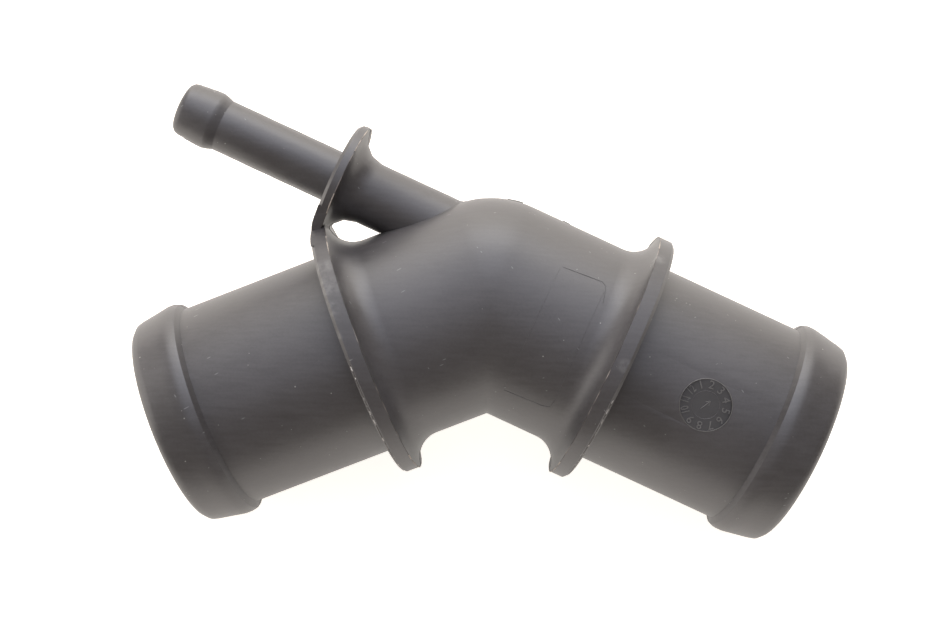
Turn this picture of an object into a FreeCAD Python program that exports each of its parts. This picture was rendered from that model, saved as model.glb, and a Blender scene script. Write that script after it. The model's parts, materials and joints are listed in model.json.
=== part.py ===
import FreeCAD, Part
import math
import os
import re

import Sketcher

# One injection-moulded hose connector: two equal 32 mm spigots that meet in a 46 degree bend,
# each with a sealing bead at its rim and a stop collar at its root, and an 8 mm vent spigot
# that runs parallel to the right arm and passes through a lobe of the left collar.
#
# The body's own axes: X and Y lie in the plane of the bend, the two hose axes meet at the
# origin, the outside of the bend faces +Y. The body is then laid down on its collars and
# rim beads, which is how the loose part rests, with the floor at z = 0.

SIZES = [
    ("bend_angle", 46.0),
    ("arm_length", 53.0),
    ("barrel_dia", 32.0),
    ("wall_thickness", 3.3),
    ("core_step", 0.2),
    ("core_length", 6.5),
    ("mouth_chamfer", 0.5),
    ("rim_round", 1.7),
    ("lead_rise", 0.5),
    ("bead_rise", 1.2),
    ("bead_length", 8.2),
    ("crest_from_rim", 6.2),
    ("crest_width", 1.0),
    ("collar_height", 4.05),
    ("collar_face", 21.9),
    ("collar_thickness", 2.5),
    ("collar_fillet", 4.2),
    ("collar_edge", 0.5),
    ("vent_offset", 7.25),
    ("vent_length", 56.0),
    ("vent_dia", 8.0),
    ("vent_wall", 1.3),
    ("vent_bore_step", 0.2),
    ("vent_root_rise", 0.85),
    ("vent_bead_rise", 0.5),
    ("vent_bead_length", 6.0),
    ("vent_crest_from_tip", 4.9),
    ("vent_crest_width", 1.2),
    ("vent_tip_rise", 0.25),
    ("vent_tip_round", 1.1),
    ("lobe_land", 0.4),
    ("lobe_thickness", 1.6),
    ("lobe_fillet", 3.9),
    ("lobe_edge", 0.5),
    ("knee_share", 0.57),
    ("knee_round", 5.0),
    ("dial_share", 0.24),
    ("dial_place", 34.5),
]

doc = FreeCAD.newDocument("coolant_flange")

sheet = doc.addObject("Spreadsheet::Sheet", "Sizes")
for row, (alias, size) in enumerate(SIZES, start=1):
    sheet.set(f"A{row}", alias)
    sheet.set(f"B{row}", str(size))
    sheet.setAlias(f"B{row}", alias)
doc.recompute()


def named(text):
    """An expression with every size name pointed at the sheet."""
    return re.sub(r"[a-z]+(?:_[a-z]+)+", lambda found: f"<<Sizes>>.{found.group()}", text)


def value(text):
    """The number an expression stands for at the sheet's present sizes."""
    number = sheet.evalExpression(named(text))
    return float(getattr(number, "Value", number))


body = doc.addObject("PartDesign::Body", "coolant_flange")
body.Label = "coolant_flange"
doc.recompute()


def origin_feature(role):
    return next(item for item in body.Origin.OriginFeatures if item.Role == role)


ORIGIN_POINT = (-1, 1)
TURN = FreeCAD.Vector(0, 0, 1)


def plane_sketch(name, turn, lift="0"):
    """A sketch in the bend plane whose x axis is turned by an angle and lifted sideways."""
    sketch = body.newObject("Sketcher::SketchObject", name)
    sketch.AttachmentSupport = [(origin_feature("XY_Plane"), "")]
    sketch.MapMode = "FlatFace"
    sketch.AttachmentOffset = FreeCAD.Placement(FreeCAD.Vector(0, 0, 0), TURN, value(turn))
    sketch.setExpression("AttachmentOffset.Rotation.Angle", named(f"({turn}) * 1deg"))
    if lift != "0":
        sketch.setExpression("AttachmentOffset.Base.x", named(f"sin(bend_angle * 0.5deg) * ({lift})"))
        sketch.setExpression("AttachmentOffset.Base.y", named(f"cos(bend_angle * 0.5deg) * ({lift})"))
    doc.recompute()
    return sketch


def pin_point(sketch, geo, pos, x, y):
    """Fix one point of the sketch by its two coordinates, each driven by the sheet."""
    for kind, text in (("DistanceX", x), ("DistanceY", y)):
        number = value(text)
        if abs(number) < 1e-9:
            axis = -2 if kind == "DistanceX" else -1
            sketch.addConstraint(Sketcher.Constraint("PointOnObject", geo, pos, axis))
            continue
        index = sketch.addConstraint(Sketcher.Constraint(kind, *ORIGIN_POINT, geo, pos, number))
        sketch.setExpression(f"Constraints[{index}]", named(text))


def outline(sketch, steps):
    """Draw a closed outline. Each step is (x, y) for a corner that a straight line leads on
    from, or (x, y, radius, side) where an arc does; side is the side its centre lies on."""
    corners = [FreeCAD.Vector(value(step[0]), value(step[1]), 0) for step in steps]
    count = len(steps)
    ends = []
    for index, step in enumerate(steps):
        start = corners[index]
        end = corners[(index + 1) % count]
        if len(step) == 2:
            geo = sketch.addGeometry(Part.LineSegment(start, end), False)
            ends.append((geo, 1, 2))
            continue
        radius = value(step[2])
        middle = (start + end) * 0.5
        along = end - start
        normal = FreeCAD.Vector(-along.y, along.x, 0).normalize()
        reach = math.sqrt(max(radius**2 - (along.Length / 2) ** 2, 0.0))
        centre = middle + normal * reach * step[3]
        first = math.atan2(start.y - centre.y, start.x - centre.x)
        last = math.atan2(end.y - centre.y, end.x - centre.x)
        circle = Part.Circle(centre, FreeCAD.Vector(0, 0, 1), radius)
        if step[3] > 0:
            arc = Part.ArcOfCircle(circle, first, last)
            places = (1, 2)
        else:
            arc = Part.ArcOfCircle(circle, last, first)
            places = (2, 1)
        geo = sketch.addGeometry(arc, False)
        index_radius = sketch.addConstraint(Sketcher.Constraint("Radius", geo, radius))
        sketch.setExpression(f"Constraints[{index_radius}]", named(step[2]))
        ends.append((geo, *places))
    for index in range(count):
        geo, start, end = ends[index]
        following = ends[(index + 1) % count]
        sketch.addConstraint(Sketcher.Constraint("Coincident", geo, end, following[0], following[1]))
    for (geo, start, end), step in zip(ends, steps):
        pin_point(sketch, geo, start, step[0], step[1])
    doc.recompute()


def eased(centre_x, centre_y, radius, first, last, count):
    """Points along a small round, from angle first to last in degrees, joined by short tapers."""
    angles = [first + (last - first) * index / count for index in range(count + 1)]
    return [
        (f"{centre_x} + {radius} * cos({angle}deg)", f"{centre_y} + {radius} * sin({angle}deg)")
        for angle in angles
    ]


def turned(kind, name, sketch):
    """Revolve an outline once round the x axis of its own sketch."""
    feature = body.newObject(f"PartDesign::{kind}", name)
    feature.Profile = sketch
    feature.ReferenceAxis = (sketch, ["H_Axis"])
    feature.Angle = 360
    sketch.Visibility = False
    doc.recompute()
    return feature


RIGHT_ARM = "-bend_angle / 2"
LEFT_ARM = "180 + bend_angle / 2"
VENT = "180 - bend_angle / 2"


# The elbow: a ball of the pipe's own radius where the two arms meet.
elbow = body.newObject("PartDesign::AdditiveSphere", "Elbow")
elbow.setExpression("Radius", named("barrel_dia / 2"))
doc.recompute()


# The two arms. Seen in half section from the bend out to the rim: pipe, collar fillet,
# collar rim with an eased hose-side edge, hose seat, bead, lead-in taper and rounded rim.
barrel = "barrel_dia / 2"
lead = "(barrel_dia / 2 + lead_rise)"
bead = "(barrel_dia / 2 + bead_rise)"
collar = "(barrel_dia / 2 + collar_height)"
bead_foot = "arm_length - bead_length"
crest_start = "arm_length - crest_from_rim - crest_width / 2"
crest_end = "arm_length - crest_from_rim + crest_width / 2"
lead_end = "arm_length - rim_round"
collar_back = "collar_face - collar_thickness"
fillet_run = "sqrt(collar_fillet^2 - (collar_fillet - collar_height)^2)"
bead_run = "(bead_length - crest_from_rim - crest_width / 2)"
bead_shoulder = f"{bead_foot} + {bead_run} * 0.4"
bead_brow = f"({barrel} + bead_rise * 0.75)"

for name, turn in (("LeftArm", LEFT_ARM), ("RightArm", RIGHT_ARM)):
    section = plane_sketch(f"{name}Section", turn)
    outline(
        section,
        [
            ("0", "0"),
            ("0", barrel),
            (f"{collar_back} - {fillet_run}", barrel, "collar_fillet", 1),
            (collar_back, collar),
            ("collar_face - collar_edge", collar),
            ("collar_face", f"{collar} - collar_edge"),
            ("collar_face", barrel),
            (bead_foot, barrel),
            (bead_shoulder, bead_brow),
            (crest_start, bead),
            (crest_end, bead),
            *eased(lead_end, f"({lead} - rim_round)", "rim_round", 90, 0, 3),
            ("arm_length", "0"),
        ],
    )
    turned("Revolution", name, section)


# The vent spigot, its thicker root inside the lobe, and the round lobe it passes through.
vent_crest_start = "vent_length - vent_crest_from_tip - vent_crest_width / 2"
vent_crest_end = "vent_length - vent_crest_from_tip + vent_crest_width / 2"
vent = "vent_dia / 2"
root = "(vent_dia / 2 + vent_root_rise)"
vent_bead = "(vent_dia / 2 + vent_bead_rise)"
tip = "(vent_dia / 2 + vent_tip_rise)"
lobe = "(vent_dia / 2 + vent_root_rise + lobe_fillet + lobe_land)"
bend = "bend_angle * 1deg"
lobe_face = f"(collar_face * cos({bend}) + {collar} * sin({bend}))"
lobe_back = f"{lobe_face} - lobe_thickness"

section = plane_sketch("VentSection", VENT, "vent_offset")
outline(
    section,
    [
        ("0", "0"),
        ("0", root),
        *eased(f"({lobe_back} - lobe_fillet)", f"({root} + lobe_fillet)", "lobe_fillet", -90, 0, 3),
        (lobe_back, lobe),
        (f"{lobe_face} - lobe_edge", lobe),
        (lobe_face, f"{lobe} - lobe_edge"),
        (lobe_face, vent),
        ("vent_length - vent_bead_length", vent),
        (vent_crest_start, vent_bead),
        (vent_crest_end, vent_bead),
        *eased("(vent_length - vent_tip_round)", f"({tip} - vent_tip_round)", "vent_tip_round", 90, 0, 3),
        ("vent_length", "0"),
    ],
)
turned("Revolution", "Vent", section)


# The collar's rim runs straight up to the knee, where the plate folds over into the lobe.
# Both plates end on the knee line, and their flanks are tangent to the two round outlines.
lobe_drop = f"((collar_face + vent_offset * sin({bend}) - {lobe_face} * cos({bend})) / sin({bend}))"
half_knee = f"({lobe} * knee_share)"


def cross_sketch(name, turn, station, lift="0"):
    """A sketch square to an arm at a distance out along it; its y axis is the body's Z."""
    sketch = body.newObject("Sketcher::SketchObject", name)
    sketch.AttachmentSupport = [(origin_feature("YZ_Plane"), "")]
    sketch.MapMode = "FlatFace"
    upright = FreeCAD.Vector(0, 1, 0)
    sketch.AttachmentOffset = FreeCAD.Placement(FreeCAD.Vector(0, 0, 0), upright, value(turn))
    half = "bend_angle * 0.5deg"
    along = f"(({turn}) * 1deg)"
    sketch.setExpression("AttachmentOffset.Rotation.Angle", named(f"({turn}) * 1deg"))
    sketch.setExpression(
        "AttachmentOffset.Base.x", named(f"({station}) * sin{along} + ({lift}) * cos({half})")
    )
    sketch.setExpression(
        "AttachmentOffset.Base.z", named(f"({station}) * cos{along} + ({lift}) * sin({half})")
    )
    doc.recompute()
    return sketch


def plate(name, sketch, thickness):
    feature = body.newObject("PartDesign::Pad", name)
    feature.Profile = sketch
    feature.setExpression("Length", named(thickness))
    sketch.Visibility = False
    doc.recompute()
    return feature


def flank(reach, radius):
    """Angle, from the knee's middle, where a line from the knee's corner touches the circle."""
    corner = f"sqrt(({reach})^2 + ({half_knee})^2)"
    return f"(atan({half_knee} / ({reach})) + acos(min(1; {radius} / {corner})))"


knees = [
    ("CollarKnee", LEFT_ARM, collar_back, "0", collar, collar, -1, "collar_thickness"),
    ("LobeKnee", VENT, lobe_back, "vent_offset", lobe_drop, lobe, 1, "lobe_thickness"),
]
for name, turn, station, lift, reach, radius, side, thickness in knees:
    section = cross_sketch(f"{name}Outline", turn, station, lift)
    angle = flank(reach, radius)
    touch = f"{side} * ({radius}) * cos({angle})"
    spread = f"({radius}) * sin({angle})"
    outline(
        section,
        [
            (f"{side} * ({reach})", f"-{half_knee}"),
            (f"{side} * ({reach})", half_knee),
            (touch, spread),
            (touch, f"-({spread})"),
        ],
    )
    plate(name, section, thickness)

# The hose side of the fold is rounded. In the left arm's own plane the knee stands at the
# collar's face, below the axis, and the cut takes what lies outside an arc tangent to both faces.
tangent = f"(knee_round * tan({bend} / 2))"
section = plane_sketch("KneeRoundSection", LEFT_ARM)
outline(
    section,
    [
        (
            f"collar_face - {tangent} * sin({bend})",
            f"-({collar} + {tangent} * cos({bend}))",
            "knee_round",
            1,
        ),
        ("collar_face", f"{tangent} - {collar}"),
        ("collar_face + knee_round", f"-({collar} + {tangent})"),
    ],
)
knee_cut = body.newObject("PartDesign::Pocket", "KneeRound")
knee_cut.Profile = section
knee_cut.Midplane = True
knee_cut.setExpression("Length", named(f"2 * {collar}"))
section.Visibility = False
doc.recompute()


# The passages. Each main core is a plain cylinder that steps down where the two cores meet,
# and the vent's core pin runs straight down into the left passage.
bore = "(barrel_dia / 2 - wall_thickness)"
core = "(barrel_dia / 2 - wall_thickness - core_step)"
for name, turn in (("LeftBore", LEFT_ARM), ("RightBore", RIGHT_ARM)):
    section = plane_sketch(f"{name}Section", turn)
    outline(
        section,
        [
            ("0", "0"),
            ("0", core),
            ("core_length", core),
            ("core_length", bore),
            ("arm_length - mouth_chamfer", bore),
            ("arm_length", f"{bore} + mouth_chamfer"),
            ("arm_length + mouth_chamfer", f"{bore} + mouth_chamfer"),
            ("arm_length + mouth_chamfer", "0"),
        ],
    )
    turned("Groove", name, section)

core_meeting = body.newObject("PartDesign::SubtractiveSphere", "CoreMeeting")
core_meeting.setExpression("Radius", named(core))
doc.recompute()

vent_bore = "(vent_dia / 2 - vent_wall)"
section = plane_sketch("VentBoreSection", VENT, "vent_offset")
outline(
    section,
    [
        ("0", "0"),
        ("0", f"{vent_bore} - vent_bore_step"),
        (lobe_face, f"{vent_bore} - vent_bore_step"),
        (lobe_face, vent_bore),
        ("vent_length - mouth_chamfer", vent_bore),
        ("vent_length", f"{vent_bore} + mouth_chamfer"),
        ("vent_length + mouth_chamfer", f"{vent_bore} + mouth_chamfer"),
        ("vent_length + mouth_chamfer", "0"),
    ],
)
turned("Groove", "VentBore", section)


# The flat seat of a round mould insert on the right barrel, level with the barrel at its sides.
dial_radius = "(barrel_dia / 2 * dial_share)"
section = body.newObject("Sketcher::SketchObject", "DialOutline")
section.AttachmentSupport = [(origin_feature("XY_Plane"), "")]
section.MapMode = "FlatFace"
half = "bend_angle * 0.5deg"
section.setExpression("AttachmentOffset.Base.x", named(f"dial_place * cos({half})"))
section.setExpression("AttachmentOffset.Base.y", named(f"-dial_place * sin({half})"))
section.setExpression(
    "AttachmentOffset.Base.z", named(f"sqrt((barrel_dia / 2)^2 - {dial_radius}^2)")
)
circle = Part.Circle(FreeCAD.Vector(0, 0, 0), FreeCAD.Vector(0, 0, 1), value(dial_radius))
edge = section.addGeometry(circle, False)
section.addConstraint(Sketcher.Constraint("Coincident", edge, 3, *ORIGIN_POINT))
index = section.addConstraint(Sketcher.Constraint("Radius", edge, value(dial_radius)))
section.setExpression(f"Constraints[{index}]", named(dial_radius))
doc.recompute()
dial = body.newObject("PartDesign::Pocket", "DialSeat")
dial.Profile = section
dial.Reversed = True
dial.setExpression("Length", named("barrel_dia / 8"))
section.Visibility = False
doc.recompute()


# At rest the part lies on the rims of both collars and on both beads. In an arm's half
# section the floor touches the eased collar edge and the outer end of the bead's crest.
fall = f"({collar} - {bead})"
run = f"({crest_end} - collar_face + collar_edge)"
slope = f"atan({fall} / {run})"
tilt = f"asin(sin({slope}) / sin({half}))"
height = f"({bead} * cos({slope}) + ({crest_end}) * sin({slope}))"

# How far the part reaches to the front (a rim's round) and to the back (the vent's tip). The
# second corner of each round, 60 degrees up from its end face, is the one that reaches furthest.
lean = f"(sin({half}) * cos({tilt}))"
side_on = f"sqrt(1 - {lean}^2)"
brow = f"({lean} * cos(60deg) + {side_on} * sin(60deg))"
front = f"(({lead_end}) * {lean} + ({lead} - rim_round) * {side_on} + rim_round * {brow})"
tip_reach = "(vent_length - vent_tip_round)"
tip_radius = f"({tip} - vent_tip_round)"
back = f"({tip_reach} * {lean} + {tip_radius} * {side_on} + vent_tip_round * {brow}"
back += f" + vent_offset * cos({half}) * cos({tilt}))"

body.Placement = FreeCAD.Placement(FreeCAD.Vector(0, 0, 0), FreeCAD.Vector(1, 0, 0), value(tilt))
body.setExpression("Placement.Rotation.Angle", named(tilt))
body.setExpression("Placement.Base.y", named(f"({front} - {back}) / 2"))
body.setExpression("Placement.Base.z", named(height))
doc.recompute()


for item in doc.Objects:
    if "Invalid" in item.State or "Error" in item.State:
        raise RuntimeError(f"{item.Name} failed to build")
if body.Shape.isNull() or not body.Shape.isValid() or len(body.Shape.Solids) != 1:
    raise RuntimeError("the flange is not one sound solid")
shape = body.Shape.Solids[0]

os.makedirs("parts", exist_ok=True)
shape.exportStep(os.path.join("parts", f"{body.Label}.step"))
box = shape.BoundBox
print(f"{body.Label}: {box.XLength:.2f} x {box.YLength:.2f} x {box.ZLength:.2f} mm")
print(f"x {box.XMin:.2f} {box.XMax:.2f}, y {box.YMin:.2f} {box.YMax:.2f}, z {box.ZMin:.3f} {box.ZMax:.2f}")
print(f"volume {shape.Volume / 1000:.2f} cm3, faces {len(shape.Faces)}")
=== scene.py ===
# %% [markdown]
# # A coolant flange in dark glass-filled nylon
#
# The part is one injection moulding: two hose spigots that meet in a shallow bend, a stop
# collar on each, and a slim vent spigot beside them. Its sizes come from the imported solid, and
# this lesson gives it the surface, the mould marks and the light that a photograph would show.

import json
import math

import bmesh
import bpy
from mathutils import Matrix, Vector
from mathutils.bvhtree import BVHTree
from mathutils.geometry import intersect_line_line


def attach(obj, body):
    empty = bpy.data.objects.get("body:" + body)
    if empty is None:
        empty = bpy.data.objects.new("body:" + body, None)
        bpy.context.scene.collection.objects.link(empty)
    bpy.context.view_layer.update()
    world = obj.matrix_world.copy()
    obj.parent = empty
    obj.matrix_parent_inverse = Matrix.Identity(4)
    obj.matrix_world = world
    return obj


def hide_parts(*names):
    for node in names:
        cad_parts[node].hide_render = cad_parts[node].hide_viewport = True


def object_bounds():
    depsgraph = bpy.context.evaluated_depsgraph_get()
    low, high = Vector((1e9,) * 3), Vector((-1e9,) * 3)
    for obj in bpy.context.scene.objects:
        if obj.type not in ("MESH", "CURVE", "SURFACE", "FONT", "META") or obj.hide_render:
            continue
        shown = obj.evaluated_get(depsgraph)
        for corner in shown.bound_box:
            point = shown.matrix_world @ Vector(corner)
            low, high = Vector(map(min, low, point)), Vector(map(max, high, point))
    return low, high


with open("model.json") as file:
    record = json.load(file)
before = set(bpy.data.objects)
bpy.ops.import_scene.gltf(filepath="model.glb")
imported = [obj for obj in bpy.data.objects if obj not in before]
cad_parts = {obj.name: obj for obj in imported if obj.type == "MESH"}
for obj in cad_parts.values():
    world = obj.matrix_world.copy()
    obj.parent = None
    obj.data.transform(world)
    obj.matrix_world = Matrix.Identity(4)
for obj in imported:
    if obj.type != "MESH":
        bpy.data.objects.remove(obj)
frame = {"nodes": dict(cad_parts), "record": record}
cad_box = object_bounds()
solid = frame["nodes"]["coolant_flange"]
MM = 0.001
print("solid faces:", len(solid.data.polygons))

# %% [markdown]
# ## The part's own axes
#
# The record keeps a position and an axis for each hose spigot. The two hose axes cross at the
# bend, so that crossing is the part's natural centre, and everything is placed from it: X to
# the right along the part, Y to the outside of the bend, Z up through the bend's plane.

# %% Axes of the arms and of the vent
mounts = {mount["name"]: mount for mount in frame["record"]["mounts"]}


def axis_line(name):
    """A point on a spigot's axis and the direction that leads out of it."""
    mount = mounts[name]
    return Vector(mount["pos_m"]), Vector(mount["axis"]).normalized()


left_point, left_out = axis_line("left_hose_bore")
right_point, right_out = axis_line("right_hose_bore")
vent_point, vent_out = axis_line("vent_bore")
bend_centre = intersect_line_line(
    left_point, left_point + left_out, right_point, right_point + right_out
)[0]
bench_x = (right_out - left_out).normalized()
bench_y = -(right_out + left_out).normalized()
bench_z = bench_x.cross(bench_y)
bench = Matrix((bench_x, bench_y, bench_z)).transposed()
print("bend centre in mm:", [round(v / MM, 2) for v in bend_centre])

# %% [markdown]
# ## Sizes and places
#
# The surface marks follow the collars, the lobe, the rims and the dial, so the radius and the
# place of each is named once. A place is a distance along a spigot's axis, and an angle goes
# round that axis, so any mark on a round form needs only three numbers.

# %% Sizes that the surface marks follow
ARM_LENGTH = 53.0 * MM
BARREL_R = 16.0 * MM
COLLAR_R = 20.05 * MM
COLLAR_FACE = 21.9 * MM
COLLAR_BACK = 19.4 * MM
COLLAR_EDGE = 0.5 * MM
VENT_LENGTH = 56.0 * MM
VENT_R = 4.0 * MM
VENT_BEAD_R = 4.5 * MM
VENT_BORE_R = 2.7 * MM
LOBE_R = 9.15 * MM
LOBE_THICKNESS = 1.6 * MM
LOBE_BACK = 29.64 * MM - LOBE_THICKNESS
KNEE_HALF = 5.2 * MM
DIAL_R = 3.84 * MM
DIAL_PLACE = 34.5 * MM


def across(out):
    """The direction square to an axis, in the bend's plane, on the outside of the bend."""
    return (bench_y - out * bench_y.dot(out)).normalized()


def round_point(origin, out, place, radius, angle):
    """A point on a circle round an axis; 0 degrees is outside the bend, 90 is above its plane."""
    turn = math.radians(angle)
    spoke = across(out) * math.cos(turn) + bench_z * math.sin(turn)
    return origin + out * place + radius * spoke


vent_aside = (vent_point - bend_centre).dot(across(vent_out))
vent_root = bend_centre + across(vent_out) * vent_aside
print("the vent's axis lies beside the bend centre by, in mm:", round(vent_aside / MM, 2))

# %% [markdown]
# ## The camera
#
# The photograph was taken from above the plane of the bend, a little turned and tipped. The
# three angles and the distance come from fitting the outline, and the lens is the one that
# gives the photograph's scale at that distance.

# %% Place the camera
PICTURE_WIDTH, PICTURE_HEIGHT = 950, 633
PIXELS_PER_MM = 6.43
CAMERA_DISTANCE = 230.55 * MM
CENTRE_PIXEL = (490.6, 301.3)
CAMERA_TURNS = (("Y", -0.82), ("X", 2.49), ("Z", -1.92))
SENSOR_WIDTH = 36.0
CLIP_START = 0.01
FOCAL_PIXELS = PIXELS_PER_MM / MM * CAMERA_DISTANCE

to_camera = Matrix.Identity(3)
for turn_axis, degrees in CAMERA_TURNS:
    to_camera = Matrix.Rotation(math.radians(degrees), 3, turn_axis) @ to_camera
centre_in_view = Vector((
    (CENTRE_PIXEL[0] - PICTURE_WIDTH / 2) / PIXELS_PER_MM * MM,
    -(CENTRE_PIXEL[1] - PICTURE_HEIGHT / 2) / PIXELS_PER_MM * MM,
    -CAMERA_DISTANCE,
))
view_turn = bench @ to_camera.transposed()
standpoint = bend_centre - view_turn @ centre_in_view

camera_data = bpy.data.cameras.new("camera")
camera_data.sensor_width = SENSOR_WIDTH
camera_data.lens = FOCAL_PIXELS * SENSOR_WIDTH / PICTURE_WIDTH
camera_data.clip_start = CLIP_START
camera = bpy.data.objects.new("camera", camera_data)
camera.matrix_world = Matrix.Translation(standpoint) @ view_turn.to_4x4()
bpy.context.scene.collection.objects.link(camera)
bpy.context.scene.camera = camera
print("lens in mm:", round(camera_data.lens, 1))


def pixel_ray(x, y):
    """The camera's place and the direction in which it sees a pixel of the photograph."""
    seen = Vector((x - PICTURE_WIDTH / 2, PICTURE_HEIGHT / 2 - y, -FOCAL_PIXELS))
    return camera.matrix_world.translation, (view_turn @ seen).normalized()


# %% [markdown]
# ## Shader maths as expressions
#
# A material is a tree of nodes, and wiring it by hand hides what it works out. A small class
# wraps one socket, so that an expression such as 1 - mask adds its Math node by itself, and
# one method adds every other kind of node from its type, its settings and its inputs.

# %% A small wrapper for shader maths
class Shade:
    """A socket of one node tree, so that shader maths can be written as an expression."""

    def __init__(self, tree, socket):
        self.tree = tree
        self.socket = socket

    def node(self, kind, settings=None, **inputs):
        """Add any node: its settings first, then the values or links of its sockets."""
        made = self.tree.nodes.new(kind)
        for name, setting in (settings or {}).items():
            setattr(made, name, setting)
        for name, given in inputs.items():
            key = int(name[1:]) if name[1:].isdigit() else name.replace("_", " ")
            plug(self.tree, made.inputs[key], given)
        return made

    def out(self, kind, settings=None, output=0, **inputs):
        """Add a node and wrap one of its outputs."""
        return Shade(self.tree, self.node(kind, settings, **inputs).outputs[output])

    def maths(self, operation, first, second):
        """Add a Math node on two values or sockets."""
        return self.out("ShaderNodeMath", {"operation": operation}, i0=first, i1=second)

    def __add__(self, other):
        return self.maths("ADD", self, other)

    def __radd__(self, other):
        return self.maths("ADD", other, self)

    def __sub__(self, other):
        return self.maths("SUBTRACT", self, other)

    def __rsub__(self, other):
        return self.maths("SUBTRACT", other, self)

    def __mul__(self, other):
        return self.maths("MULTIPLY", self, other)

    def __rmul__(self, other):
        return self.maths("MULTIPLY", other, self)

    def __lt__(self, other):
        return self.maths("LESS_THAN", self, other)

    def __gt__(self, other):
        return self.maths("GREATER_THAN", self, other)

    def ramp(self, low, high, to_low=0.0, to_high=1.0):
        """Map a range of values smoothly on to another range."""
        settings = {"interpolation_type": "SMOOTHSTEP"}
        limits = {"i1": low, "i2": high, "i3": to_low, "i4": to_high}
        return self.out("ShaderNodeMapRange", settings, i0=self, **limits)


def plug(tree, socket, given):
    """Link a wrapped or plain socket, or set a plain value."""
    if isinstance(given, Shade):
        tree.links.new(given.socket, socket)
    elif isinstance(given, bpy.types.NodeSocket):
        tree.links.new(given, socket)
    else:
        socket.default_value = given


def new_material(name):
    """An empty material and the Shade that starts its maths, on Object coordinates."""
    material = bpy.data.materials.new(name)
    material.use_nodes = True
    tree = material.node_tree
    tree.nodes.clear()
    return material, Shade(tree, None).out("ShaderNodeTexCoord", output="Object")


def finish_material(material, start, surface):
    """Send a shader to the material's output and say how many nodes it took."""
    start.node("ShaderNodeOutputMaterial", Surface=surface)
    print(material.name, "nodes:", len(material.node_tree.nodes))


print("operators that add a Math node: + - * < >")

# %% [markdown]
# ## The white table
#
# The photograph's ground is white, but light enough to make it white would bleach the part.
# The table is a pale matt colour instead, which catches the shadow and throws a little warm
# light up. For the camera, and for the rays that a glossy or clear surface sends out, it also
# glows, so it reads as white in the picture and in the part's gloss.

# %% Make the table
FLOOR_SIDE = 2.4
FLOOR_COLOUR = (0.88, 0.82, 0.73, 1.0)
GLOW_COLOUR = (1.0, 0.975, 0.93, 1.0)
FLOOR_LIFT = 0.86
GLOWING_RAYS = ("Camera", "Glossy", "Transmission")

floor_mesh = bpy.data.meshes.new("table")
half = FLOOR_SIDE / 2
floor_mesh.from_pydata(
    [(-half, -half, 0), (half, -half, 0), (half, half, 0), (-half, half, 0)], [], [(0, 1, 2, 3)]
)
floor = bpy.data.objects.new("table", floor_mesh)
bpy.context.scene.collection.objects.link(floor)

table_white, table_start = new_material("table_white")
rays = table_start.node("ShaderNodeLightPath").outputs
seen, glossy, passing = [rays[f"Is {kind} Ray"] for kind in GLOWING_RAYS]
shown = table_start.maths("MAXIMUM", seen, table_start.maths("MAXIMUM", glossy, passing))
matt = table_start.out("ShaderNodeBsdfDiffuse", Color=FLOOR_COLOUR)
glow = table_start.out("ShaderNodeEmission", Color=GLOW_COLOUR, Strength=shown * FLOOR_LIFT)
finish_material(table_white, table_start, table_start.out("ShaderNodeAddShader", i0=matt, i1=glow))
floor_mesh.materials.append(table_white)

# %% [markdown]
# ## The light
#
# The tops of the barrels fade from pale at their outer flank to dark in the middle, so the
# light comes from the outside of the bend: a low warm lamp for the flank and a high cool one
# for the shoulder. A weak cool lamp overhead and a low one at the left lift the collars. All
# four are broad, and a weak warm world fills the rest. The camera sees that world as white.

# %% The world and the lamps
WORLD_STRENGTH = 0.31
WORLD_COLOUR = (1.0, 0.90, 0.82, 1.0)
BACKDROP_WHITE = (1.0, 1.0, 1.0, 1.0)

world = bpy.data.worlds.new("studio")
world.use_nodes = True
world.node_tree.nodes.clear()
world_start = Shade(world.node_tree, None)
seen = world_start.out("ShaderNodeLightPath", output="Is Camera Ray")
even = world_start.out("ShaderNodeBackground", Color=WORLD_COLOUR, Strength=WORLD_STRENGTH)
white = world_start.out("ShaderNodeBackground", Color=BACKDROP_WHITE, Strength=1.0)
backdrop = world_start.out("ShaderNodeMixShader", i0=seen, i1=even, i2=white)
world_start.node("ShaderNodeOutputWorld", Surface=backdrop)
bpy.context.scene.world = world

# Each lamp: its place in metres, its side in metres, its watts and its colour.
LAMPS = {
    "outer_low": ((0.0, 0.65, 0.15), 0.80, 4.7, (1.0, 0.95, 0.86)),
    "outer_high": ((0.0, 0.50, 0.55), 0.80, 4.1, (0.84, 0.88, 1.0)),
    "overhead": ((0.0, 0.0, 0.80), 0.60, 0.9, (0.74, 0.80, 1.0)),
    "left_low": ((-0.65, 0.0, 0.15), 0.60, 2.2, (1.0, 0.96, 0.92)),
}
LOOK_AT = Vector((0.0, 0.0, 0.02))
for lamp_name, (place, side, watts, colour) in LAMPS.items():
    light = bpy.data.lights.new(lamp_name, "AREA")
    light.size = side
    light.energy = watts
    light.color = colour
    lamp = bpy.data.objects.new(lamp_name, light)
    lamp.location = place
    lamp.rotation_euler = (LOOK_AT - Vector(place)).to_track_quat("-Z", "Y").to_euler()
    bpy.context.scene.collection.objects.link(lamp)
bpy.context.scene.view_settings.view_transform = "Standard"
print("lamps:", ", ".join(LAMPS))

# %% [markdown]
# ## The nylon
#
# Nylon with glass fibre leaves the mould matt and dark grey, never one flat tone: the skin is
# slightly cloudy, short fibres show as faint streaks, and handling leaves white specks and
# short scratches. All of that is mixed from noise and cell patterns on Object coordinates, so
# it stays fixed to the part from every side. The body's colour, its roughness and a fine bump
# each take a share of the same patterns.

# %% Patterns that every finish is mixed from
MARK_CORE = 0.6


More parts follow.
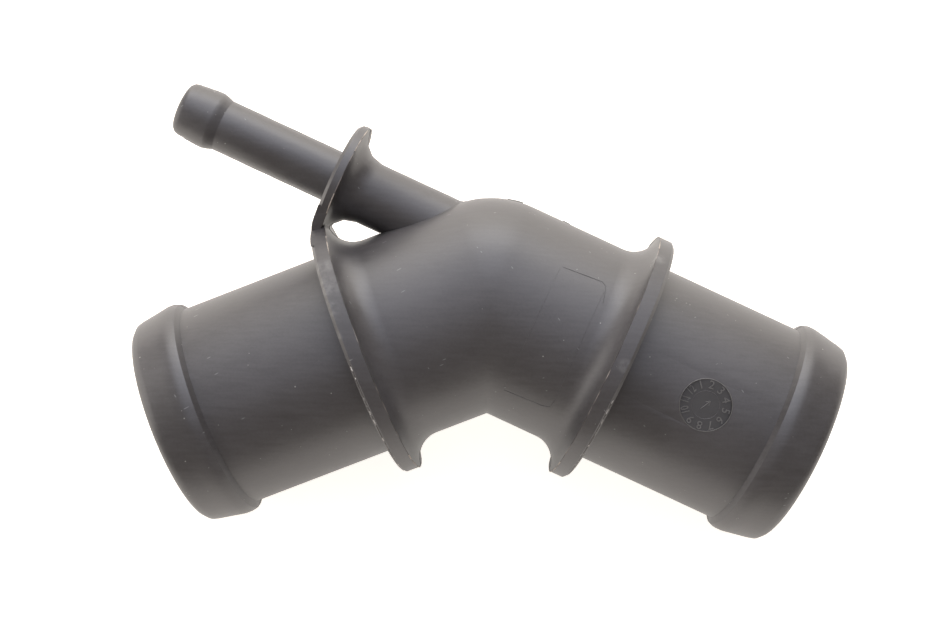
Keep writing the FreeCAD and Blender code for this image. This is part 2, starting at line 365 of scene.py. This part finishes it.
def noise(place, scale, detail=2.0, stretch=None):
    """A noise value from 0 to 1; a stretch below 1 draws it out along an axis into streaks."""
    if stretch:
        place = place.out("ShaderNodeMapping", i0=place, i3=stretch)
    return place.out("ShaderNodeTexNoise", i0=place, Scale=scale, Detail=detail)


def marks(place, cell, reach, share, turn=(0.0, 0.0, 0.0), stretch=(1.0, 1.0, 1.0)):
    """Sparse marks: cells whose middle the surface meets, for a share of all cells."""
    settings = {"vector_type": "TEXTURE"}
    turned = place.out("ShaderNodeMapping", settings, i0=place, i2=turn, i3=stretch)
    cells = place.node("ShaderNodeTexVoronoi", Vector=turned, Scale=1.0 / cell)
    distance = Shade(place.tree, cells.outputs["Distance"])
    lottery = place.out("ShaderNodeSeparateColor", i0=cells.outputs["Color"])
    return distance.ramp(reach * MARK_CORE, reach, 1.0, 0.0) * (lottery < share)


def mixed(shade, amount, first, second):
    """Blend two colours, given as (r, g, b) or as wrapped sockets, by an amount."""
    picked = [value if isinstance(value, Shade) else (*value, 1.0) for value in (first, second)]
    settings = {"data_type": "RGBA"}
    return shade.out("ShaderNodeMix", settings, output=2, i0=amount, i6=picked[0], i7=picked[1])


print("a mark is solid over this share of its reach:", MARK_CORE)

# %% [markdown]
# ### Rubbed places
#
# Parts are tipped into a box together, and the collars take the knocks. Where they rub, the
# dark skin turns a soft grey in a broken patch. Each patch is a falloff round a point on a
# collar's rim, multiplied by noise, and the points are given by place and angle.

# %% Where the collars are rubbed
SCUFF_CORE = 0.3
SCUFF_GRAIN = 700.0
SCUFF_RANGE = (0.30, 0.72)
RIM_MIDDLE = COLLAR_FACE - 1.0 * MM

# Each scuff: its spigot, its place, its angle in degrees and its radius in mm.
SCUFF_PLACES = (
    (left_out, RIM_MIDDLE, 47, 2.2),
    (left_out, RIM_MIDDLE, 57, 2.6),
    (left_out, COLLAR_FACE, 67, 2.2),
    (left_out, COLLAR_FACE, 79, 1.1),
    (right_out, RIM_MIDDLE, 89, 1.3),
    (right_out, COLLAR_BACK, 34, 1.8),
)
SCUFFS = [
    (round_point(bend_centre, out, place, COLLAR_R, angle), radius * MM)
    for out, place, angle, radius in SCUFF_PLACES
]


def scuffed(skin, spots):
    """Where the surface was rubbed: a broken patch round each spot, given as (point, radius)."""
    total = 0.0
    for point, radius in spots:
        span = {"operation": "DISTANCE"}
        away = skin.out("ShaderNodeVectorMath", span, output="Value", i0=skin, i1=point)
        total = away.ramp(radius * SCUFF_CORE, radius, 1.0, 0.0) + total
    return total * noise(skin, SCUFF_GRAIN, 3.0).ramp(*SCUFF_RANGE)


print("scuffs:", len(SCUFFS))

# %% [markdown]
# ### One function for three nylons
#
# The body, its rubbed high spots and the dial are the same plastic with more or less polish
# and dust, so one function makes them all from two greys. The tone moves between the greys
# with cloud, streak and grain, and the marks and scuffs are blended over it. The strong
# specular level gives the pale flanks that show where the skin is seen at a low angle.

# %% The body's nylon, the paler one of high spots and the dark one of the dial
CLOUD_SCALE, GRAIN_SCALE, STREAK_SCALE, PEBBLE_SCALE = 55.0, 2600.0, 1900.0, 700.0
STREAK_STRETCH = (0.12, 1.0, 0.5)
CLOUD_SHARE, STREAK_SHARE, GRAIN_SHARE = 0.52, 0.28, 0.20
TONE_RANGE = (0.30, 0.70)
SPECK = {"cell": 2.6 * MM, "reach": 0.048}
DUST = {"cell": 1.3 * MM, "reach": 0.072}
DUST_SHARE, DUST_FAINTNESS = 0.7, 0.55
SCRATCH = {"cell": 1.2 * MM, "reach": 0.085, "turn": (0.0, 0.0, 0.5), "stretch": (5.0, 1.0, 1.0)}
NICK = {"cell": 1.4 * MM, "reach": 0.070, "turn": (0.1, 0.1, -0.9), "stretch": (3.5, 1.0, 1.0)}
SCRATCH_SHARE = 0.30
SPECK_WHITE = (0.50, 0.48, 0.45)
SCRATCH_GREY = (0.34, 0.34, 0.34)
SCUFF_GREY = (0.24, 0.235, 0.23)
SPECK_COVER, SCRATCH_COVER, SCUFF_COVER = 0.7, 0.4, 0.5
ROUGHNESS, ROUGHER_TONE, ROUGHER_GRAIN = 0.37, 0.10, 0.06
GRAIN_HEIGHT, PEBBLE_HEIGHT, SCRATCH_DEPTH, SPECK_HEIGHT = 0.5, 0.8, 0.6, 0.5
BUMP_STRENGTH, BUMP_DEPTH = 0.22, 0.06 * MM
SPECULAR = 1.0


def nylon_material(name, dark, pale, dust_share, spots=()):
    """Matt glass-filled nylon between two greys, with dust specks on a share of the cells."""
    material, skin = new_material(name)
    cloud = noise(skin, CLOUD_SCALE, 4.0)
    grain = noise(skin, GRAIN_SCALE, 3.0)
    streak = noise(skin, STREAK_SCALE, 3.0, STREAK_STRETCH)
    tone = (cloud * CLOUD_SHARE + streak * STREAK_SHARE + grain * GRAIN_SHARE).ramp(*TONE_RANGE)
    speck = marks(skin, share=dust_share, **SPECK)
    dust = marks(skin, share=dust_share * DUST_SHARE, **DUST)
    long_marks = marks(skin, share=SCRATCH_SHARE, **SCRATCH)
    short_marks = marks(skin, share=SCRATCH_SHARE, **NICK)
    scratch = skin.maths("MAXIMUM", long_marks, short_marks)
    white_mark = skin.maths("MAXIMUM", speck, dust * DUST_FAINTNESS)
    base = mixed(skin, tone, dark, pale)
    base = mixed(skin, scratch * SCRATCH_COVER, base, SCRATCH_GREY)
    base = mixed(skin, white_mark * SPECK_COVER, base, SPECK_WHITE)
    if spots:
        base = mixed(skin, scuffed(skin, spots) * SCUFF_COVER, base, SCUFF_GREY)
    pebble = noise(skin, PEBBLE_SCALE, 2.0)
    relief = grain * GRAIN_HEIGHT + pebble * PEBBLE_HEIGHT
    relief = relief - scratch * SCRATCH_DEPTH + white_mark * SPECK_HEIGHT
    bump = skin.out("ShaderNodeBump", Strength=BUMP_STRENGTH, Distance=BUMP_DEPTH, Height=relief)
    shader = skin.out(
        "ShaderNodeBsdfPrincipled",
        Base_Color=base,
        Roughness=ROUGHNESS + tone * ROUGHER_TONE + grain * ROUGHER_GRAIN,
        Normal=bump,
        Specular_IOR_Level=SPECULAR,
    )
    finish_material(material, skin, shader)
    return material


BODY_GREYS = ((0.043, 0.039, 0.039), (0.080, 0.075, 0.077))
RUBBED_GREYS = ((0.085, 0.080, 0.076), (0.145, 0.138, 0.130))
DIAL_GREYS = ((0.026, 0.024, 0.023), (0.046, 0.043, 0.042))
nylon = nylon_material("glass_filled_nylon", *BODY_GREYS, dust_share=0.30, spots=SCUFFS)
rubbed = nylon_material("rubbed_nylon", *RUBBED_GREYS, dust_share=0.10)
dial_dark = nylon_material("dial_nylon", *DIAL_GREYS, dust_share=0.10)

# %% [markdown]
# ### Flash and a painted edge highlight
#
# Plastic that was squeezed out and torn off has no moulded skin: it is dull, and it turns
# pale where it was stretched. One noise, at the scale of the tears, blends a dark and a pale
# colour, so that one edge is quiet and the next is speckled. The same blend in near-white is
# painted highlight: a broken pale line for the light that the collars' hose-side edges catch.

# %% The pale skin of flash, and the painted highlight of the collars' edges
TORN_GRAIN = 2200.0
TORN_STRENGTH, TORN_DEPTH = 0.3, 0.05 * MM
TORN_ROUGHNESS, ROUGHER_PALE = 0.5, 0.1


def flash_material(name, dark, pale, scale, pale_range):
    """Bare torn plastic: dark where the noise is low and pale where it is high."""
    material, edge = new_material(name)
    broken = noise(edge, scale, 3.0).ramp(*pale_range)
    grain = noise(edge, TORN_GRAIN)
    bump = edge.out("ShaderNodeBump", Strength=TORN_STRENGTH, Distance=TORN_DEPTH, Height=grain)
    shader = edge.out(
        "ShaderNodeBsdfPrincipled",
        Base_Color=mixed(edge, broken, dark, pale),
        Roughness=TORN_ROUGHNESS + broken * ROUGHER_PALE,
        Normal=bump,
    )
    finish_material(material, edge, shader)
    return material


# Each look: its dark and pale colour, the noise's scale and the range over which it turns pale.
FLASH_LOOKS = {
    "faint_flash": ((0.062, 0.056, 0.053), (0.34, 0.30, 0.27), 260.0, (0.50, 0.70)),
    "pale_flash": ((0.16, 0.14, 0.125), (0.55, 0.48, 0.41), 500.0, (0.35, 0.60)),
    # The speckled look is painted highlight: near-white, for the light on the collars' hose-side
    # edges.
    "edge_highlight_paint": ((0.13, 0.12, 0.115), (0.80, 0.77, 0.72), 900.0, (0.52, 0.66)),
}
flash = {name: flash_material(name, *look) for name, look in FLASH_LOOKS.items()}

# %% [markdown]
# ## The body
#
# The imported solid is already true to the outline, but it is loose triangles. A copy is merged
# into one skin and shaded smooth across gentle angles, so the facets of the barrels and of
# the small rounds read as curves, while real edges stay crisp.

# %% Merge a copy of the solid
WELD = 0.002 * MM
SMOOTH_BELOW = math.radians(36)


def soften(work):
    """Shade a bmesh smooth wherever two faces meet at a gentle angle."""
    for item in work.edges:
        item.smooth = item.is_manifold and item.calc_face_angle(0.0) < SMOOTH_BELOW
    for face in work.faces:
        face.smooth = True


def welded_copy(name, source):
    """A merged copy of a solid, as an object with no material yet."""
    mesh = source.data.copy()
    mesh.name = name
    work = bmesh.new()
    work.from_mesh(mesh)
    bmesh.ops.remove_doubles(work, verts=work.verts, dist=WELD)
    soften(work)
    work.to_mesh(mesh)
    work.free()
    if "custom_normal" in mesh.attributes:
        mesh.attributes.remove(mesh.attributes["custom_normal"])
    mesh.materials.clear()
    piece = bpy.data.objects.new(name, mesh)
    bpy.context.scene.collection.objects.link(piece)
    return piece


body = welded_copy("flange_body", solid)
body.data.materials.append(nylon)
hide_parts("coolant_flange")
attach(body, "root")
body_tree = BVHTree.FromPolygons(
    [vertex.co for vertex in body.data.vertices], [face.vertices for face in body.data.polygons]
)
print("body vertices after merging:", len(body.data.vertices))

# %% [markdown]
# ## Ridges along a path
#
# Where two parts of the mould met, a hair of plastic was squeezed out and stands as a fine
# uneven ridge. It follows a path, so one Geometry Nodes tree makes every such line: it walks
# along the path in short steps, varies the thickness with noise and sweeps a small round
# profile.

# %% The tree that sweeps a ridge along a path
PROFILE_SIDES = 6
BLOT_SCALE = 300.0
RIDGE_INPUTS = {"Radius": 0.1 * MM, "Step": 0.4 * MM, "Unevenness": 0.5, "Seed": 1.0}


def ridge_tree():
    """Geometry Nodes: path edges to an uneven ridge, with named sizes."""
    tree = bpy.data.node_groups.new("uneven_ridge", "GeometryNodeTree")
    face = tree.interface
    face.new_socket("Geometry", in_out="INPUT", socket_type="NodeSocketGeometry")
    for name, size in RIDGE_INPUTS.items():
        face.new_socket(name, in_out="INPUT", socket_type="NodeSocketFloat").default_value = size
    face.new_socket("Material", in_out="INPUT", socket_type="NodeSocketMaterial")
    face.new_socket("Geometry", in_out="OUTPUT", socket_type="NodeSocketGeometry")
    work = Shade(tree, None)
    given = work.node("NodeGroupInput").outputs
    path = work.out("GeometryNodeMeshToCurve", Mesh=given["Geometry"])
    by_length = {"mode": "LENGTH"}
    walked = work.out("GeometryNodeResampleCurve", by_length, Curve=path, Length=given["Step"])
    place = work.out("GeometryNodeInputPosition")
    seeded = {"noise_dimensions": "4D"}
    blot = work.out("ShaderNodeTexNoise", seeded, Vector=place, W=given["Seed"], Scale=BLOT_SCALE)
    swing = (blot - 0.5) * 2.0 * Shade(tree, given["Unevenness"])
    radius = Shade(tree, given["Radius"]) * (1.0 + swing)
    profile = work.out("GeometryNodeCurvePrimitiveCircle", Resolution=PROFILE_SIDES, Radius=1.0)
    swept = work.out("GeometryNodeCurveToMesh", i0=walked, i1=profile, Scale=radius, Fill_Caps=True)
    real = work.out("GeometryNodeRealizeInstances", Geometry=swept)
    coated = work.out("GeometryNodeSetMaterial", Geometry=real, Material=given["Material"])
    work.node("NodeGroupOutput", Geometry=coated)
    return tree


RIDGE = ridge_tree()
print("nodes in the ridge's tree:", len(RIDGE.nodes))

# %% [markdown]
# ## From a path to a piece
#
# Every mark is a piece of its own that rides on the part. A few helpers make such a piece: a
# list of points becomes a mesh of edges, the tree is run on it, and the result is kept as a
# plain mesh. Where a path is gathered from loose edges, their shared ends are merged first, so
# that the ridge runs on and doesn't start anew at each edge.

# %% From a path to a piece that rides on the part
def riding_piece(name, mesh):
    """Put a finished mesh in the scene as a piece that rides on the part."""
    piece = bpy.data.objects.new(name, mesh)
    bpy.context.scene.collection.objects.link(piece)
    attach(piece, "root")
    print(name, "faces:", len(mesh.polygons))


def ridge(radius, step, unevenness, seed, material):
    """The tree's inputs for one kind of ridge, with its radius and step in millimetres."""
    sizes = {"Radius": radius * MM, "Step": step * MM, "Unevenness": unevenness}
    return {**sizes, "Seed": seed, "Material": material}


def grow(name, path, values):
    """Run the ridge's tree on a mesh of edges and keep the result as a riding piece."""
    holder = bpy.data.objects.new(name + "_path", path)
    bpy.context.scene.collection.objects.link(holder)
    modifier = holder.modifiers.new("grow", "NODES")
    modifier.node_group = RIDGE
    inputs = [item for item in RIDGE.interface.items_tree if item.in_out == "INPUT"]
    names = {item.name: item.identifier for item in inputs}
    for key, value in values.items():
        modifier[names[key]] = value
    bpy.context.view_layer.update()
    ready = holder.evaluated_get(bpy.context.evaluated_depsgraph_get())
    mesh = bpy.data.meshes.new_from_object(ready)
    mesh.name = name
    holder.modifiers.clear()
    bpy.data.objects.remove(holder)
    for face in mesh.polygons:
        face.use_smooth = True
    riding_piece(name, mesh)


def path_mesh(name, paths):
    """A mesh of edges only, one chain for each list of points."""
    points, links = [], []
    for path in paths:
        first = len(points)
        points.extend(path)
        links.extend((first + index, first + index + 1) for index in range(len(path) - 1))
    mesh = bpy.data.meshes.new(name)
    mesh.from_pydata(points, links, [])
    return mesh


JOIN = 0.01 * MM


def joined_edges(name, pairs):
    """A mesh of edges whose shared ends are merged, so that they form long chains."""
    mesh = path_mesh(name, pairs)
    work = bmesh.new()
    work.from_mesh(mesh)
    bmesh.ops.remove_doubles(work, verts=work.verts, dist=JOIN)
    work.to_mesh(mesh)
    work.free()
    return mesh


print("path ends are joined within, in mm:", JOIN / MM)

# %% [markdown]
# ## Flash along the rims
#
# The collars and the lobe have a hair of flash on their back edges, where the mould closed.
# The rim isn't a plain circle, because the left collar folds over into the lobe, so the path
# is read from the body itself: its sharp edges that lie in the plane of the back face. The
# crease at the fold is no rim and is left out.

# %% Find the rims and grow their flash
IN_PLANE = 0.03 * MM
RIM_SINK = 0.05 * MM
BOX_CLEAR = 0.16 * MM
KNEE_REACH = 8.0 * MM


def sharp_edges(mesh):
    """The ends of every edge that was left sharp."""
    work = bmesh.new()
    work.from_mesh(mesh)
    pairs = [[vertex.co.copy() for vertex in item.verts] for item in work.edges if not item.smooth]
    work.free()
    return pairs


# The back faces of the collar and of the lobe meet at the knee, where the plate folds over.
collar_top = bend_centre + left_out * COLLAR_BACK
rise = (LOBE_BACK - (collar_top - vent_root).dot(vent_out)) / across(left_out).dot(vent_out)
knee = collar_top + across(left_out) * rise
edges = sharp_edges(body.data)
print("sharp edges:", len(edges))


def in_fold(point):
    """True between the two corners of the knee, where there is a crease and no rim."""
    return (point - knee).length < KNEE_REACH and abs((point - knee).dot(bench_z)) < KNEE_HALF


def rim_edges(origin, out, place):
    """Sharp edges in the plane square to an axis, pulled a little into the solid and its box."""
    lowest, highest = cad_box[0][2] + BOX_CLEAR, cad_box[1][2] - BOX_CLEAR
    centre = origin + out * place
    found = []
    for ends in edges:
        level = all(abs((end - origin).dot(out) - place) < IN_PLANE for end in ends)
        if level and not any(in_fold(end) for end in ends):
            sunk = [end - (end - centre).normalized() * RIM_SINK for end in ends]
            found.append([Vector((end.x, end.y, min(max(end.z, lowest), highest))) for end in sunk])
    return found


RIMS = {
    "left_collar_flash": (bend_centre, left_out, COLLAR_BACK),
    "right_collar_flash": (bend_centre, right_out, COLLAR_BACK),
    "lobe_flash": (vent_root, vent_out, LOBE_BACK),
}
FAINT = ridge(0.07, 0.35, 1.0, 2.0, flash["faint_flash"])
for rim_name, rim in RIMS.items():
    grow(rim_name, joined_edges("rim", rim_edges(*rim)), FAINT)

# %% [markdown]
# ## Pale stretches of the rims, and a painted edge highlight
#
# Along some stretches the flash was torn and shows pale, and a near-white broken line along
# the collars' hose-side edges is painted highlight, for the light that these edges catch. Both
# are plain arcs round an axis, from one angle to another, and lie on the round part of the rim.

# %% Arcs of torn flash and of painted edge highlight
RIM_STEP = 3


def rim_arc(origin, out, place, radius, first, last):
    """Points round a rim from one angle to another."""
    steps = max(1, round(abs(last - first) / RIM_STEP))
    angles = [first + (last - first) * step / steps for step in range(steps + 1)]
    return [round_point(origin, out, place, radius, angle) for angle in angles]


HOSE_SIDE = COLLAR_FACE - COLLAR_EDGE / 2
HOSE_SIDE_R = COLLAR_R - COLLAR_EDGE / 2
PALE_ARCS = (
    (bend_centre, left_out, COLLAR_BACK, COLLAR_R, 19, 40),
    (bend_centre, left_out, COLLAR_BACK, COLLAR_R, 146, 176),
    (bend_centre, right_out, COLLAR_BACK, COLLAR_R, 10, 26),
    (bend_centre, right_out, COLLAR_BACK, COLLAR_R, 148, 177),
    (vent_root, vent_out, LOBE_BACK, LOBE_R, 20, 58),
    (vent_root, vent_out, LOBE_BACK, LOBE_R, 104, 126),
)
# Painted highlight: these arcs lay a pale ridge along each collar's hose-side edge, where it
# catches the light.
EDGE_HIGHLIGHT_ARCS = (
    (bend_centre, left_out, HOSE_SIDE, HOSE_SIDE_R, 92, 166),
    (bend_centre, right_out, HOSE_SIDE, HOSE_SIDE_R, 104, 158),
)
PALE = ridge(0.075, 0.3, 1.0, 4.0, flash["pale_flash"])
EDGE_HIGHLIGHT = ridge(0.08, 0.25, 1.0, 5.0, flash["edge_highlight_paint"])
grow("rim_flash", path_mesh("pale", [rim_arc(*arc) for arc in PALE_ARCS]), PALE)
# The pale ridge along the collars' hose-side edges is painted highlight.
grow("collar_edge_highlight", path_mesh("rubbed", [rim_arc(*arc) for arc in EDGE_HIGHLIGHT_ARCS]), EDGE_HIGHLIGHT)

# %% [markdown]
# ## The parting line
#
# The two main halves of the mould met in the plane of the bend, so a fine ridge runs round the
# outside of the part in that plane. The plane is laid through the body, and the cut's edges
# that lie on the outside become the ridge's path. It stops short of the rims and of the tip.

# %% Cut the body with the bend's plane
INSIDE_R = 13.4 * MM
RIM_CLEAR = 1.9 * MM
VENT_BORE_CLEAR = 0.4 * MM
ROOT_SHARE = 0.9


def station(point, origin, out):
    """How far a point lies along an axis, and how far from it."""
    along = (point - origin).dot(out)
    return along, (point - origin - out * along).length


def is_outside(point):
    """True on the outer skin, away from the bores, the rims and the tip."""
    left_along, left_off = station(point, bend_centre, left_out)
    right_along, right_off = station(point, bend_centre, right_out)
    vent_along, vent_off = station(point, vent_root, vent_out)
    if min(left_off, right_off) < INSIDE_R and vent_off > LOBE_R:
        return False
    if left_off < INSIDE_R and vent_along < ROOT_SHARE * LOBE_BACK:
        return False
    at_rim = max(left_along, right_along) > ARM_LENGTH - RIM_CLEAR
    at_tip = vent_along > VENT_LENGTH - RIM_CLEAR and vent_off < LOBE_R
    in_vent = vent_off < VENT_BORE_R + VENT_BORE_CLEAR
    return not (at_rim or at_tip or in_vent)


cutter = bmesh.new()
cutter.from_mesh(body.data)
everything = cutter.verts[:] + cutter.edges[:] + cutter.faces[:]
cut = bmesh.ops.bisect_plane(cutter, geom=everything, plane_co=bend_centre, plane_no=bench_z)
parting = []
for item in cut["geom_cut"]:
    if isinstance(item, bmesh.types.BMEdge):
        ends = [vertex.co.copy() for vertex in item.verts]
        if all(is_outside(end) for end in ends):
            parting.append(ends)
cutter.free()
grow("parting_ridge", joined_edges("parting", parting), ridge(0.06, 0.5, 0.9, 11.0, nylon))

# %% [markdown]
# ## Two torn burrs
#
# On the outside of the bend the parting line is torn in two short stretches that stand a
# little proud. Rays sent in from outside find the body's edge there, and the same tree sweeps
# a thicker, darker ridge along it.

# %% Grow the burrs on the outside of the bend
BURR_STEP = 0.15
OUTSIDE = 60.0 * MM


def outer_edge(x):
    """The body's outermost point in the bend's plane at a distance x along the part, in mm."""
    start = bend_centre + bench_x * x * MM + bench_y * OUTSIDE
    return body_tree.ray_cast(start, -bench_y)[0]


# Each burr: where it starts and ends along the part, and its radius, in mm.
BURRS = {"long_burr": (2.1, 4.5, 0.17), "short_burr": (10.8, 11.9, 0.10)}
for burr_name, (first, last, radius) in BURRS.items():
    stops = round((last - first) / BURR_STEP)
    stretch = [outer_edge(first + (last - first) * stop / stops) for stop in range(stops + 1)]
    grow(burr_name, path_mesh("burr", [stretch]), ridge(radius, 0.2, 1.0, 8.0, dial_dark))

# %% [markdown]
# ## The soft step behind the vent's bead
#
# The photograph shows the small bead running out gently towards the lobe, where the solid has a
# short step. A thin turned ring fills that step with a smooth curve.

# %% Turn the ring
RING_START, RING_END = 48.6 * MM, 50.75 * MM
RING_STEPS, RING_SEGMENTS = 12, 64
RING_SINK = 0.12 * MM
SINK_FADE = 6

ring_profile = []
for step in range(RING_STEPS + 1):
    share = step / RING_STEPS
    ease = share * share * (3.0 - 2.0 * share)
    place = RING_START + (RING_END - RING_START) * share
    sink = RING_SINK * (1 - share) ** SINK_FADE
    ring_profile.append((place, VENT_R - sink + (VENT_BEAD_R - VENT_R) * ease))
ring_profile += [(RING_END, VENT_R - RING_SINK), (RING_START, VENT_R - 2 * RING_SINK)]
row = len(ring_profile)
ring_points, ring_faces = [], []
for segment in range(RING_SEGMENTS):
    angle = 360.0 * segment / RING_SEGMENTS
    for place, radius in ring_profile:
        ring_points.append(round_point(vent_root, vent_out, place, radius, angle))
    near, far = segment * row, (segment + 1) % RING_SEGMENTS * row
    for step in range(row):
        after = (step + 1) % row
        ring_faces.append((near + step, near + after, far + after, far + step))
ring_mesh = bpy.data.meshes.new("vent_bead_run_out")
ring_mesh.from_pydata(ring_points, [], ring_faces)
ring_work = bmesh.new()
ring_work.from_mesh(ring_mesh)
bmesh.ops.recalc_face_normals(ring_work, faces=ring_work.faces)
soften(ring_work)
ring_work.to_mesh(ring_mesh)
ring_work.free()
ring_mesh.materials.append(nylon)
riding_piece("vent_bead_run_out", ring_mesh)

# %% [markdown]
# ## The insert's outline
#
# One place on the bend was formed by a block of its own, let into the mould, and the gap
# round that block left a thin rectangular line. Its corners are pixels of the photograph.
# Each is cast from the camera on to the body, so the line lies on the surface from every side.
# At its two ends the line is drawn in dark nylon, as painted shade of the fine groove there.

# %% Outline of the rectangular insert
INSERT_ENDS = {
    "top": ((563, 267), (603, 282), (606, 287), (603, 303)),
    "bottom": ((504, 390), (543, 406), (550, 407), (555, 400)),
}
INSERT_SIDES = (((606, 287), (555, 400)), ((560, 268), (504, 388)))
INSERT_STEPS = 24


def cast(x, y):
    """The point of the body that the camera sees at a pixel of the photograph."""
    origin, direction = pixel_ray(x, y)
    return body_tree.ray_cast(origin, direction)[0]


def pixel_line(corners):
    """Points on the body along straight lines between pixels."""
    points = []
    for (x0, y0), (x1, y1) in zip(corners, corners[1:]):
        shares = [step / INSERT_STEPS for step in range(INSERT_STEPS + 1)]
        points += [cast(x0 + (x1 - x0) * share, y0 + (y1 - y0) * share) for share in shares]
    return points


insert_ends = [pixel_line(corners) for corners in INSERT_ENDS.values()]
insert_sides = [pixel_line(corners) for corners in INSERT_SIDES]
# The end lines' dark dial nylon is painted shade: the shade inside the fine groove round the block.
grow("insert_end_line", joined_edges("insert", insert_ends), ridge(0.045, 0.4, 0.8, 7.0, dial_dark))
grow("insert_side_line", joined_edges("insert", insert_sides), ridge(0.03, 0.4, 0.8, 7.0, nylon))

# %% [markdown]
# ## The dial
#
# A round stamp let into the mould left a dial on the right spigot: a flat dark seat with a
# fine lip, a ring in the middle, an arrow and plain numbers. The seat is in the solid, and
# everything else is placed on it in the plane that the camera looks down on.

# %% The dial's lip, middle ring and arrow
DIAL_MIDDLE_R = 2.05 * MM
CIRCLE_STEP = 6
ARROW_LENGTH, ARROW_HEAD = 1.8 * MM, 0.6 * MM
ARROW_SPREAD = ARROW_HEAD * 0.6
ARROW_TURN = math.radians(38)
seat_height = math.sqrt(BARREL_R**2 - DIAL_R**2)
dial_centre = bend_centre + right_out * DIAL_PLACE
dial_up = across(right_out)


def on_dial(x, y, height=0.0):
    """A point of the dial: x and y as the camera sees it, height above its flat seat."""
    return dial_centre + bench_x * x + bench_y * y + bench_z * (seat_height + height)


def round_dial(radius, turn):
    """A point of the dial's seat, on a circle round its middle."""
    return on_dial(radius * math.cos(turn), radius * math.sin(turn))


def lip_point(turn):
    """A point of the dial's edge, lifted to the barrel's round surface."""
    flat = bench_x * math.cos(turn) * DIAL_R + bench_y * math.sin(turn) * DIAL_R
    lift = math.sqrt(BARREL_R**2 - flat.dot(dial_up) ** 2)
    return dial_centre + flat + bench_z * lift


def arrow_point(along, aside):
    """A point of the arrow, measured from its middle along its own direction."""
    return on_dial(
        along * math.cos(ARROW_TURN) - aside * math.sin(ARROW_TURN),
        along * math.sin(ARROW_TURN) + aside * math.cos(ARROW_TURN),
    )


circle_turns = [math.radians(angle) for angle in range(0, 361, CIRCLE_STEP)]
lip = [lip_point(turn) for turn in circle_turns]
middle_ring = [round_dial(DIAL_MIDDLE_R, turn) for turn in circle_turns]
arrow_tip = arrow_point(ARROW_LENGTH / 2, 0)
arrow = [
    [arrow_point(-ARROW_LENGTH / 2, 0), arrow_tip],
    [arrow_point(ARROW_LENGTH / 2 - ARROW_HEAD, ARROW_SPREAD), arrow_tip],
    [arrow_point(ARROW_LENGTH / 2 - ARROW_HEAD, -ARROW_SPREAD), arrow_tip],
]
grow("dial_lip", path_mesh("lip", [lip]), ridge(0.06, 0.2, 0.5, 3.0, rubbed))
grow("dial_middle_ring", path_mesh("ring", [middle_ring]), ridge(0.06, 0.2, 0.5, 3.0, nylon))
grow("dial_arrow", path_mesh("arrow", arrow), ridge(0.06, 0.2, 0.5, 3.0, rubbed))

# %% [markdown]
# ## The dial's floor
#
# The seat is duller and darker than the skin round it. It is flat, so one round face with many
# corners, a hair above the seat, is all that it takes to give it the dark nylon.

# %% The dial's dull floor
DIAL_FLOOR_RISE = 0.015 * MM
DIAL_CORNERS = 60

dial_floor = bmesh.new()
bmesh.ops.create_circle(dial_floor, cap_ends=True, segments=DIAL_CORNERS, radius=DIAL_R)
dial_floor.transform(Matrix.Translation(on_dial(0, 0, DIAL_FLOOR_RISE)) @ bench.to_4x4())
dial_mesh = bpy.data.meshes.new("dial_floor")
dial_floor.to_mesh(dial_mesh)
dial_floor.free()
dial_mesh.materials.append(dial_dark)
riding_piece("dial_floor", dial_mesh)

# %% [markdown]
# ## The dial's numbers
#
# Twelve plain numbers stand round the dial as on a turned clock. Each is a text curve that is
# made a mesh before it is placed, turned so that its foot points to the middle. The numbers
# with two digits are narrowed to fit their share of the circle.

# %% The dial's plain numbers
HOURS = 12
HOUR_TURN = 360 / HOURS
FIRST_TURN = 105
NUMBER_SIZE = 1.75 * MM
NUMBER_R = 3.0 * MM
NUMBER_RISE = 0.14 * MM
LETTER_STEPS = 2
LAST_WIDE = 9
NARROW = 0.68

number_work = bmesh.new()
for hour in range(1, HOURS + 1):
    letters = bpy.data.curves.new("number", "FONT")
    letters.body = str(hour)
    letters.size = NUMBER_SIZE
    letters.align_x, letters.align_y = "CENTER", "CENTER"
    letters.extrude = NUMBER_RISE
    letters.resolution_u = LETTER_STEPS
    writer = bpy.data.objects.new("number", letters)
    bpy.context.scene.collection.objects.link(writer)
    bpy.context.view_layer.update()
    ready = writer.evaluated_get(bpy.context.evaluated_depsgraph_get())
    flat = bpy.data.meshes.new_from_object(ready)
    turn = math.radians(FIRST_TURN - HOUR_TURN * (hour - 1))
    upright = bench.to_4x4() @ Matrix.Rotation(turn - math.radians(90), 4, "Z")
    narrowed = Matrix.Diagonal((NARROW if hour > LAST_WIDE else 1.0, 1.0, 1.0, 1.0))
    flat.transform(Matrix.Translation(round_dial(NUMBER_R, turn)) @ (upright @ narrowed))
    number_work.from_mesh(flat)
    bpy.data.objects.remove(writer)
    bpy.data.meshes.remove(flat)
number_mesh = bpy.data.meshes.new("dial_numbers")
number_work.to_mesh(number_mesh)
number_work.free()
number_mesh.materials.append(rubbed)
riding_piece("dial_numbers", number_mesh)
